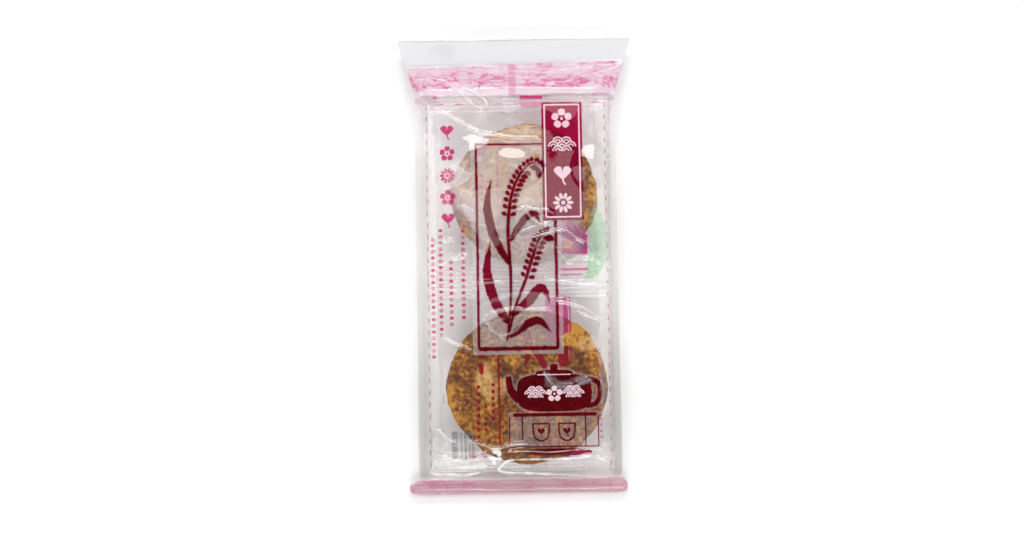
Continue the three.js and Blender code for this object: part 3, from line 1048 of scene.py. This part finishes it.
# Thin inks, through which the crackers show brown: a milky white underlay, a wine red for line
# work, a warmer red for the label, two pinks, and a nearly solid pale pink for what lies on red
underlay_ink = ink_material("white_underlay_ink", "#ffffff", "#e9e4e4", cover=0.26, worn=0.08)
thin_underlay = ink_material(
    "thin_white_underlay_ink", "#ffffff", "#e9e4e4", cover=0.17, worn=0.08)
crimson_ink = ink_material("crimson_ink", "#cb2761", "#5a0010", cover=0.35, worn=0.05)
label_ink = ink_material("label_crimson_ink", "#d01c64", "#98003a", cover=0.45, worn=0.05)
pink_ink = ink_material("pink_ink", "#dc5f94", "#cb3f7a", cover=0.6, worn=0.2)
faint_ink = ink_material("faint_pink_ink", "#ecb6cb", "#d893ae", cover=0.55, worn=0.3)
pale_ink = ink_material("pale_pink_ink", "#ffffff", "#f5d5e0", cover=0.85, worn=0.1)

FRAME_LEFT, FRAME_RIGHT, FRAME_TOP, FRAME_BOTTOM = -20.2, 19.8, 61.8, -42.9
UNDERLAY_MARGIN = 3.0
BRUSH_OVERSHOOT = 0.9  # where the frame's left line runs past its top line
FRAME_ROUGHNESS = 0.35
LABEL_LEFT, LABEL_RIGHT, LABEL_TOP, LABEL_BOTTOM = 13.6, 34.3, 83.6, 22.4
LABEL_BORDER = 1.5
LABEL_LINE = 0.8
ORNAMENT_SIZE = 10.6

# White underlay behind the frame, so that the brush work stands out
underlay = bmesh.new()
field(underlay, FRAME_LEFT - UNDERLAY_MARGIN, FRAME_RIGHT + UNDERLAY_MARGIN,
      FRAME_BOTTOM - UNDERLAY_MARGIN, FRAME_TOP + UNDERLAY_MARGIN)
ink_piece("print_frame_underlay", underlay, underlay_ink, bag_surface, 3 * INK_DEPTH)

# Hand-brushed frame: left, bottom, right up to the label, and top as far as the label
lines = bmesh.new()
for start, end, width in (
        ((FRAME_LEFT, FRAME_TOP + BRUSH_OVERSHOOT), (FRAME_LEFT, FRAME_BOTTOM), 1.3),
        ((FRAME_LEFT, FRAME_BOTTOM), (FRAME_RIGHT, FRAME_BOTTOM), 2.0),
        ((FRAME_RIGHT, LABEL_BOTTOM), (FRAME_RIGHT, FRAME_BOTTOM), 1.5),
        ((FRAME_LEFT, FRAME_TOP), (LABEL_LEFT, FRAME_TOP), 1.1)):
    stroke(lines, [start, end], width, rough=FRAME_ROUGHNESS)

# Brushed ears of rice fill the frame: two stalks with drooping rows of grains, and broad leaves
EARS = [  # the share of the stalk that is bare, and its course
    (0.5, [(-6, -39), (-4, -22), (-3.5, -4), (-4.5, 16), (-3, 33), (1.5, 45), (8.5, 52),
           (13.5, 49)]),
    (0.42, [(-5.5, -38), (-1.5, -22), (4, -8), (8, 4), (11.5, 13), (16, 16)]),
]
LEAVES = [  # width and course
    (5.2, [(-5, -30), (-12, -18), (-15.5, -3), (-13.5, 12)]),
    (5.0, [(-3.5, -26), (5, -19), (12, -12), (16.5, -20)]),
    (4.4, [(-4, 0), (-11.5, 14), (-15, 30), (-12.5, 44)]),
    (4.4, [(-4.5, -37), (4, -31), (10.5, -29), (16.5, -35)]),
    (3.6, [(-3.4, 12), (3, 22), (9, 26), (12, 21)]),
]
STALK_WIDTH = 1.7
GRAIN_STEP = 3.1
GRAIN_WIDTH = 2.2
GRAIN_ROOT, GRAIN_FORWARD, GRAIN_OUT = 0.9, 2.4, 3.0  # from the stalk's middle, and to the tip
GRAIN_DROOP = Vector((0, -1.2))
TIGHT_TURN = 0.1  # where an ear turns faster than this, its inner side has half the grains


def rice_ear(bm, bare_share, course):
    stroke(bm, course, STALK_WIDTH, ends=brush_ends, rough=0.3)
    stalk = [Vector(p) for p in course]
    count = round(path_length(stalk) * (1 - bare_share) / GRAIN_STEP)
    for i in range(count):
        share = mix(bare_share, 1.0, i / count)
        place, way = path_place(stalk, share)
        turn = way.cross(path_place(stalk, share + 0.03)[1])
        for hand in (-1, 1):
            if turn * hand > TIGHT_TURN and i % 2:
                continue
            aside = Vector((-way.y, way.x)) * hand
            root = place + aside * GRAIN_ROOT
            tip = root + way * GRAIN_FORWARD + aside * GRAIN_OUT + GRAIN_DROOP
            stroke(bm, [root, (root + tip) / 2 + way * 0.4, tip], GRAIN_WIDTH, ends=leaf_ends,
                   rough=0.2)


for bare_share, course in EARS:
    rice_ear(lines, bare_share, course)
for width, course in LEAVES:
    stroke(lines, course, width, ends=brush_ends, rough=0.3)
ink_piece("print_frame_and_rice_ear", lines, crimson_ink, bag_surface, INK_DEPTH)

# Label at the top right: a crimson field, a pale border line and four pale ornaments
label = bmesh.new()
field(label, LABEL_LEFT, LABEL_RIGHT, LABEL_BOTTOM, LABEL_TOP)
ink_piece("print_label_field", label, label_ink, bag_surface, 2 * INK_DEPTH)

ornaments = bmesh.new()
inner_left, inner_right = LABEL_LEFT + LABEL_BORDER, LABEL_RIGHT - LABEL_BORDER
inner_bottom, inner_top = LABEL_BOTTOM + LABEL_BORDER, LABEL_TOP - LABEL_BORDER
for x in (inner_left, inner_right):
    stroke(ornaments, [(x, inner_bottom), (x, inner_top)], LABEL_LINE)
for y in (inner_bottom, inner_top):
    stroke(ornaments, [(inner_left, y), (inner_right, y)], LABEL_LINE)


def flower(bm, x, y, size, petals, turned, inner, petal_width, ends, heart):
    """Petals about a round heart, all as shares of the flower's size."""
    middle = Vector((x, y))
    for i in range(petals):
        angle = math.tau * (i / petals + turned)
        out = Vector((math.cos(angle), math.sin(angle))) * size
        stroke(bm, [middle + out * inner, middle + out * 0.5], size * petal_width, ends=ends)
    reach = Vector((size * heart / 2, 0))
    stroke(bm, [middle - reach, middle + reach], size * heart, ends=round_ends)


def blossom(bm, x, y, size):
    """A plum blossom: five round petals."""
    flower(bm, x, y, size, 5, 0.25, 0.16, 0.36, round_ends, 0.14)


def chrysanthemum(bm, x, y, size):
    """A chrysanthemum: ten narrow petals."""
    flower(bm, x, y, size, 10, 0.0, 0.17, 0.17, leaf_ends, 0.2)


def waves(bm, x, y, size):
    """Three rows of wave scales drawn as arcs."""
    for row in range(3):
        for side in (-1, 0, 1) if row % 2 else (-0.5, 0.5):
            for shrink in (1.0, 0.5):
                reach = size * 0.24 * shrink
                centre_x, centre_y = x + side * size * 0.42, y + (row - 1) * size * 0.22
                turns = [math.pi * k / 4 for k in range(5)]
                stroke(bm, [(centre_x + reach * math.cos(a), centre_y + reach * math.sin(a))
                            for a in turns], 0.7)


def fan_ends(t):
    return clamp(t * 1.4) ** 0.8 * arc(clamp((t - 0.62) / 0.38), 2.2)


def ginkgo_leaf(bm, x, y, size):
    """A ginkgo leaf: a fan of two lobes on a bent stem."""
    stroke(bm, [(x + size * 0.14, y - size * 0.5), (x + size * 0.02, y - size * 0.34),
                (x, y - size * 0.15)], size * 0.08)
    for hand in (-1, 1):
        stroke(bm, [(x, y - size * 0.22), (x + hand * size * 0.3, y + size * 0.38)], size * 0.42,
               ends=fan_ends)


label_x = (LABEL_LEFT + LABEL_RIGHT) / 2
for i, ornament in enumerate((blossom, waves, ginkgo_leaf, chrysanthemum)):
    ornament(ornaments, label_x, mix(inner_top, inner_bottom, (i + 0.5) / 4), ORNAMENT_SIZE)
ink_piece("print_label_ornaments", ornaments, pale_ink, bag_surface, INK_DEPTH)

# Dashed fold guides down both sides and across the top, which leave room for the cutting mark
# and for its paler twin
DASH_LEFT, DASH_RIGHT, DASH_TOP, DASH_BOTTOM = -45.5, 45.8, 83.2, -106.0
DASH_WIDTH = 0.7
SIDE_DASH, SIDE_PITCH = 2.4, 6.1
TOP_DASH, TOP_PITCH = 4, 10
faint_marks = bmesh.new()
for i in range(int((DASH_TOP - DASH_BOTTOM) / SIDE_PITCH)):
    y = DASH_TOP - i * SIDE_PITCH
    for x in (DASH_LEFT, DASH_RIGHT):
        stroke(faint_marks, [(x, y), (x, y - SIDE_DASH)], DASH_WIDTH)
for i in range(int((DASH_RIGHT - DASH_LEFT) / TOP_PITCH)):
    x = DASH_LEFT + TOP_PITCH * (i + 0.5)
    if not 0 < x < 14:
        stroke(faint_marks, [(x, DASH_TOP), (x + TOP_DASH, DASH_TOP)], DASH_WIDTH)
stroke(faint_marks, [(3.0, 82.6), (13.4, 82.6)], 3.0)
ink_piece("print_faint_marks", faint_marks, faint_ink, bag_surface, INK_DEPTH)

# Pink ornaments left of the frame: a column of five, then four columns of small marks, and the
# cutting mark above the label
COLUMN_X, COLUMN_TOP, COLUMN_STEP, COLUMN_SIZE = -35.0, 69.0, -11.4, 8.0
MARK_COLUMNS = [(-43.0, 13.5, -49.5), (-39.0, 18.0, -39.5), (-33.8, 1.5, -34.5),
                (-27.6, 17.5, -29.5)]  # place across, top and bottom
MARK_PITCH = 3.15
MARK_SIZE = 2.2
pink_marks = bmesh.new()
for i, ornament in enumerate((ginkgo_leaf, blossom, chrysanthemum, blossom, ginkgo_leaf)):
    ornament(pink_marks, COLUMN_X, COLUMN_TOP + i * COLUMN_STEP, COLUMN_SIZE)


def lozenge(bm, x, y, size):
    stroke(bm, [(x - size * 0.5, y), (x + size * 0.5, y)], size * 0.8, ends=leaf_ends)


for column, (x, top, bottom) in enumerate(MARK_COLUMNS):
    for i in range(round((top - bottom) / MARK_PITCH)):
        motif = (chrysanthemum, lozenge, blossom, lozenge)[(i + column) % 4]
        motif(pink_marks, x, top - i * MARK_PITCH, MARK_SIZE)
stroke(pink_marks, [(2.6, 86.2), (14.2, 86.2)], 2.2, rough=0.1)
ink_piece("print_pink_marks", pink_marks, pink_ink, bag_surface, INK_DEPTH)

# Tea things at the bottom right: a broad kettle in solid crimson over a low table in outline,
# with a white underlay a little larger than both
KETTLE_X, KETTLE_Y = 17.5, -65.5
KETTLE_HALF_WIDTH, KETTLE_HEIGHT = 19, 19
LID_HALF_WIDTH, LID_HEIGHT, LID_RISE = 9.5, 5, 9
KNOB_HALF_WIDTH, KNOB_HEIGHT, KNOB_RISE = 2, 3.6, 12.6
SPOUT = [(0, -69), (-4.4, -64), (-5.6, -57)]
SPOUT_WIDTH = 4.8
HANDLE = [(34, -58.6), (39.4, -60.5), (40.6, -66), (38.5, -71), (33.5, -72.5)]
HANDLE_WIDTH = 2.4
KETTLE_MARGIN = 1.1
TABLE_LEFT, TABLE_RIGHT, TABLE_TOP, TABLE_BOTTOM = -5.4, 39.4, -77.4, -92.6
TABLE_MARGIN = 0.8
TABLE_TOP_REACH = 21  # each way from the kettle's middle
TABLE_TOP_THICKNESS = 1.8
TABLE_LEG = 6.5
THIN_LINE = 0.6
CUP_XS = (10.5, 23.5)
CUP_SIDE = [(-4.2, -81), (-3.4, -87.5), (0, -89.6), (3.4, -87.5), (4.2, -81)]
CUP_LINE = 0.8


def tapering_ends(t):
    return 1 - 0.45 * t


def kettle(bm, grow):
    """The kettle's silhouette, made larger all round by a margin."""
    for rise, reach, height in ((0, KETTLE_HALF_WIDTH, KETTLE_HEIGHT),
                                (LID_RISE, LID_HALF_WIDTH, LID_HEIGHT),
                                (KNOB_RISE, KNOB_HALF_WIDTH, KNOB_HEIGHT)):
        y = KETTLE_Y + rise
        stroke(bm, [(KETTLE_X - reach - grow, y), (KETTLE_X + reach + grow, y)],
               height + 2 * grow, ends=squarish_ends)
    tip_x, tip_y = SPOUT[-1]
    stroke(bm, [*SPOUT[:-1], (tip_x, tip_y + grow)], SPOUT_WIDTH + 2 * grow, ends=tapering_ends)
    stroke(bm, HANDLE, HANDLE_WIDTH + 2 * grow)


tea_underlay = bmesh.new()
kettle(tea_underlay, KETTLE_MARGIN)
field(tea_underlay, TABLE_LEFT - TABLE_MARGIN, TABLE_RIGHT + TABLE_MARGIN,
      TABLE_BOTTOM - TABLE_MARGIN, TABLE_TOP + 3 * TABLE_MARGIN)
ink_piece("print_tea_underlay", tea_underlay, thin_underlay, bag_surface, 3 * INK_DEPTH)

tea = bmesh.new()
kettle(tea, 0.0)
top_y = TABLE_TOP + TABLE_TOP_THICKNESS / 2
stroke(tea, [(KETTLE_X - TABLE_TOP_REACH, top_y), (KETTLE_X + TABLE_TOP_REACH, top_y)],
       TABLE_TOP_THICKNESS)
stroke(tea, [(TABLE_LEFT, TABLE_BOTTOM), (TABLE_RIGHT, TABLE_BOTTOM)], THIN_LINE)
for x in (TABLE_LEFT, TABLE_LEFT + TABLE_LEG, TABLE_RIGHT - TABLE_LEG, TABLE_RIGHT):
    stroke(tea, [(x, TABLE_TOP), (x, TABLE_BOTTOM)], THIN_LINE)
for cup_x in CUP_XS:
    stroke(tea, [(cup_x + x, y) for x, y in CUP_SIDE], CUP_LINE)
    stroke(tea, [(cup_x - 4.4, -81), (cup_x + 4.4, -81)], CUP_LINE)
    ginkgo_leaf(tea, cup_x, -85.2, 4.6)
stroke(tea, [(4, -95.4), (36, -95.4)], 3.4, ends=squarish_ends)
ink_piece("print_tea_things", tea, crimson_ink, bag_surface, INK_DEPTH)

kettle_marks = bmesh.new()
for x, ornament in ((8.0, waves), (KETTLE_X, blossom), (27.0, waves)):
    ornament(kettle_marks, x, KETTLE_Y - 0.6, 8.2)
stroke(kettle_marks, [(9, -56.4), (26, -56.4)], 0.5)
ink_piece("print_kettle_marks", kettle_marks, pale_ink, bag_surface, 0.5 * INK_DEPTH)


# ---------------------------------------------------------------------------------------------
# The print on the sachets, in millimetres: plain blocks, rules, brush marks, bars and dots in
# thin flexographic inks of their own, which show through the bag.

SACHET_INK_DEPTH = 0.5 * INK_DEPTH
DOT_PITCH = 1.9  # dot centres, in dot sizes

# Inks so thin that the film's haze and the crackers show through them
sachet_red = ink_material("sachet_red_ink", "#dc3c50", "#b8283c", cover=0.35, worn=0.15)
sachet_magenta = ink_material("sachet_magenta_ink", "#ea76b4", "#d24c94", cover=0.35, worn=0.15)
sachet_deep = ink_material("sachet_deep_magenta_ink", "#d84494", "#b82a80", cover=0.55, worn=0.15)
sachet_green = ink_material("sachet_green_ink", "#dcf3de", "#bce6c4", cover=0.3, worn=0.3)
sachet_grey = ink_material("sachet_grey_ink", "#c6c6ca", "#9a9aa2", cover=0.34, worn=0.14)
sachet_orange = ink_material("sachet_orange_ink", "#f4c8a0", "#d0692c", cover=0.8, worn=0.1)


def print_sachet(name, surface, material, strokes):
    bm = bmesh.new()
    for places, width, ends in strokes:
        stroke(bm, places, width, ends=ends)
    ink_piece(name, bm, material, surface, SACHET_INK_DEPTH)


def dot_column(x, top, bottom, size):
    """The strokes of a column of round dots."""
    pitch = DOT_PITCH * size
    return [([(x - size / 2, top - i * pitch), (x + size / 2, top - i * pitch)], size, round_ends)
            for i in range(round((top - bottom) / pitch))]


print_sachet("lower_sachet_magenta", lower_surface, sachet_magenta, [
    ([(19.4, -15.5), (19.4, -39.4)], 11.6, flat_ends),
    ([(26.2, -15.5), (26.2, -50)], 0.8, flat_ends),
    ([(-26, -96), (-22, -97)], 2.2, leaf_ends),
    ([(-20, -95), (-17, -97.5)], 2.0, leaf_ends),
])
print_sachet("lower_sachet_red", lower_surface, sachet_red, [
    ([(22.4, -38), (22.4, -52)], 5.2, flat_ends),
    ([(-10.4, -44), (-10.4, -97.3)], 0.9, flat_ends),
    ([(-10.9, -97.5), (24.8, -97.5)], 0.9, flat_ends),
    ([(2, -30), (5, -40), (3.5, -52)], 4.2, brush_ends),
    ([(5, -42), (11, -48), (14, -56)], 3.4, brush_ends),
    ([(-21, -44.5), (-17.5, -47)], 3.0, brush_ends),
    ([(-19.5, -50), (-19, -56)], 2.6, brush_ends),
    *dot_column(-20.9, -62, -92, 1.9),
    *dot_column(-17.2, -72, -86, 1.5),
    *dot_column(-13.4, -61, -82, 1.8),
])
print_sachet("lower_sachet_bars", lower_surface, sachet_grey, [
    ([(x, -84.2), (x, -98.6)], width, flat_ends)
    for x, width in ((-33.2, 3.0), (-29.8, 0.8), (-27.8, 1.2), (-25.8, 0.7), (-24.0, 1.0))
])
print_sachet("sachet_small_marks", lower_surface, faint_ink, [
    *dot_column(41.0, -44, -52, 1.0),
    *dot_column(41.5, -58, -62, 1.0),
    *dot_column(41.0, -76, -90, 1.6),
    *dot_column(-38.5, -66, -70, 0.8),
])
print_sachet("upper_sachet_block", upper_surface, sachet_deep, [
    ([(28.4, 13.6), (28.4, 5.0)], 15.0, flat_ends),
    ([(15, 17.2), (21, 17.2), (28.2, 15.4), (35.6, 12.4)], 4.2, flat_ends),
    ([(20.6, 20.6), (28, 19.4), (34.6, 15.2)], 4.0, leaf_ends),
])
print_sachet("upper_sachet_magenta", upper_surface, sachet_magenta, [
    ([(3, 12.6), (9, 15.8), (15, 17.2)], 3.4, brush_ends),
    ([(21, -2.6), (36, -2.6)], 1.3, flat_ends),
    ([(22, -5.4), (33, -5.4)], 0.8, flat_ends),
    ([(-9.4, 58.5), (-9.4, 8)], 0.7, flat_ends),
    ([(-14, 66), (-18, 60), (-20, 52)], 3.2, brush_ends),
    ([(10, 58), (13, 52), (10, 44)], 3.0, brush_ends),
    ([(10, 30), (15, 24), (19, 22)], 2.2, brush_ends),
    *dot_column(-17.5, 46, 18, 1.6),
])
print_sachet("upper_sachet_green", upper_surface, sachet_green, [
    ([(39.6, 28), (41.6, 17), (41, 4.6), (38.2, -4), (32.5, -9.6)], 9.0, brush_ends),
])
print_sachet("upper_sachet_orange", upper_surface, sachet_orange, [
    ([(23.6, 9.4), (28.4, 9.4)], 4.8, squarish_ends),
])
print_sachet("upper_sachet_grey", upper_surface, sachet_grey, [
    ([(31, 9.4), (34.8, 9.4)], 4.2, squarish_ends),
])


# ---------------------------------------------------------------------------------------------
# The table, the studio lights and the camera: a pale painted floor in a white room, with five
# soft lights round the pack and a camera that looks down on it from nearly overhead.

FLOOR_SIZE = 6.0
FLOOR_DROP = 0.2 * MM
floor_paint = new_material("matt_floor_paint")
floor_shader = add_node(floor_paint.node_tree, "ShaderNodeBsdfDiffuse", {
    "Color": linear("#fafafa")})
add_node(floor_paint.node_tree, "ShaderNodeOutputMaterial", {"Surface": floor_shader.outputs[0]})
floor_mesh = bmesh.new()
bmesh.ops.create_grid(floor_mesh, x_segments=1, y_segments=1, size=FLOOR_SIZE / 2)
floor_data = bpy.data.meshes.new("studio_floor")
floor_mesh.to_mesh(floor_data)
floor_mesh.free()
floor_data.materials.append(floor_paint)
floor = bpy.data.objects.new("studio_floor", floor_data)
floor.location.z = -FLOOR_DROP
bpy.context.scene.collection.objects.link(floor)

# A white room that is brightest low down, so that the film has little to mirror overhead
world = bpy.data.worlds.new("studio")
world.use_nodes = True
sky = world.node_tree
background = sky.nodes["Background"]
direction = add_node(sky, "ShaderNodeTexCoord").outputs["Generated"]
height_share = add_node(sky, "ShaderNodeSeparateXYZ", {"Vector": direction})
room_light = add_node(sky, "ShaderNodeMapRange", {
    "Value": height_share.outputs["Z"], "From Min": 0.25, "From Max": 0.75,
    "To Min": 0.68, "To Max": 0.08})
sky.links.new(room_light.outputs[0], background.inputs["Strength"])
background.inputs["Color"].default_value = linear("#ffffff")
bpy.context.scene.world = world

# Rectangular lights that face the pack: place, width, height and watts
SOFTBOXES = {
    "left_softbox": ((-0.71, 0.1, 0.9), 0.45, 1.0, 3.8),
    "right_softbox": ((0.71, 0.1, 0.9), 0.45, 1.0, 3.8),
    "top_softbox": ((0.0, 0.75, 0.85), 0.6, 0.27, 5.3),
    "bottom_softbox": ((0.0, -0.8, 0.8), 0.6, 0.2, 4.4),
    "overhead_panel": ((0.03, 0.27, 1.2), 0.16, 0.27, 0.34),
}
for name, (place, width, height, watts) in SOFTBOXES.items():
    light = bpy.data.lights.new(name, "AREA")
    light.shape = "RECTANGLE"
    light.size = width
    light.size_y = height
    light.energy = watts
    softbox = bpy.data.objects.new(name, light)
    softbox.location = place
    softbox.rotation_euler = (-Vector(place)).to_track_quat("-Z", "Y").to_euler()
    bpy.context.scene.collection.objects.link(softbox)

CAMERA_DISTANCE = 0.95
CAMERA_ELEVATION = math.radians(84)
CAMERA_ROLL = math.radians(1.0)
CAMERA_FOCAL = 63.9
SENSOR_WIDTH = 36
AIM = Vector((-2.8, -1.6, 0)) * MM

camera_data = bpy.data.cameras.new("camera")
camera_data.lens = CAMERA_FOCAL
camera_data.sensor_width = SENSOR_WIDTH
camera = bpy.data.objects.new("camera", camera_data)
from_aim = Vector((0, -math.cos(CAMERA_ELEVATION), math.sin(CAMERA_ELEVATION)))
camera.location = AIM + from_aim * CAMERA_DISTANCE
camera.rotation_euler = from_aim.to_track_quat("Z", "Y").to_euler()
camera.rotation_euler.rotate_axis("Z", -CAMERA_ROLL)
bpy.context.scene.collection.objects.link(camera)
bpy.context.scene.camera = camera
bpy.context.scene.view_settings.view_transform = "Standard"
bpy.context.scene.cycles.transparent_max_bounces = 32
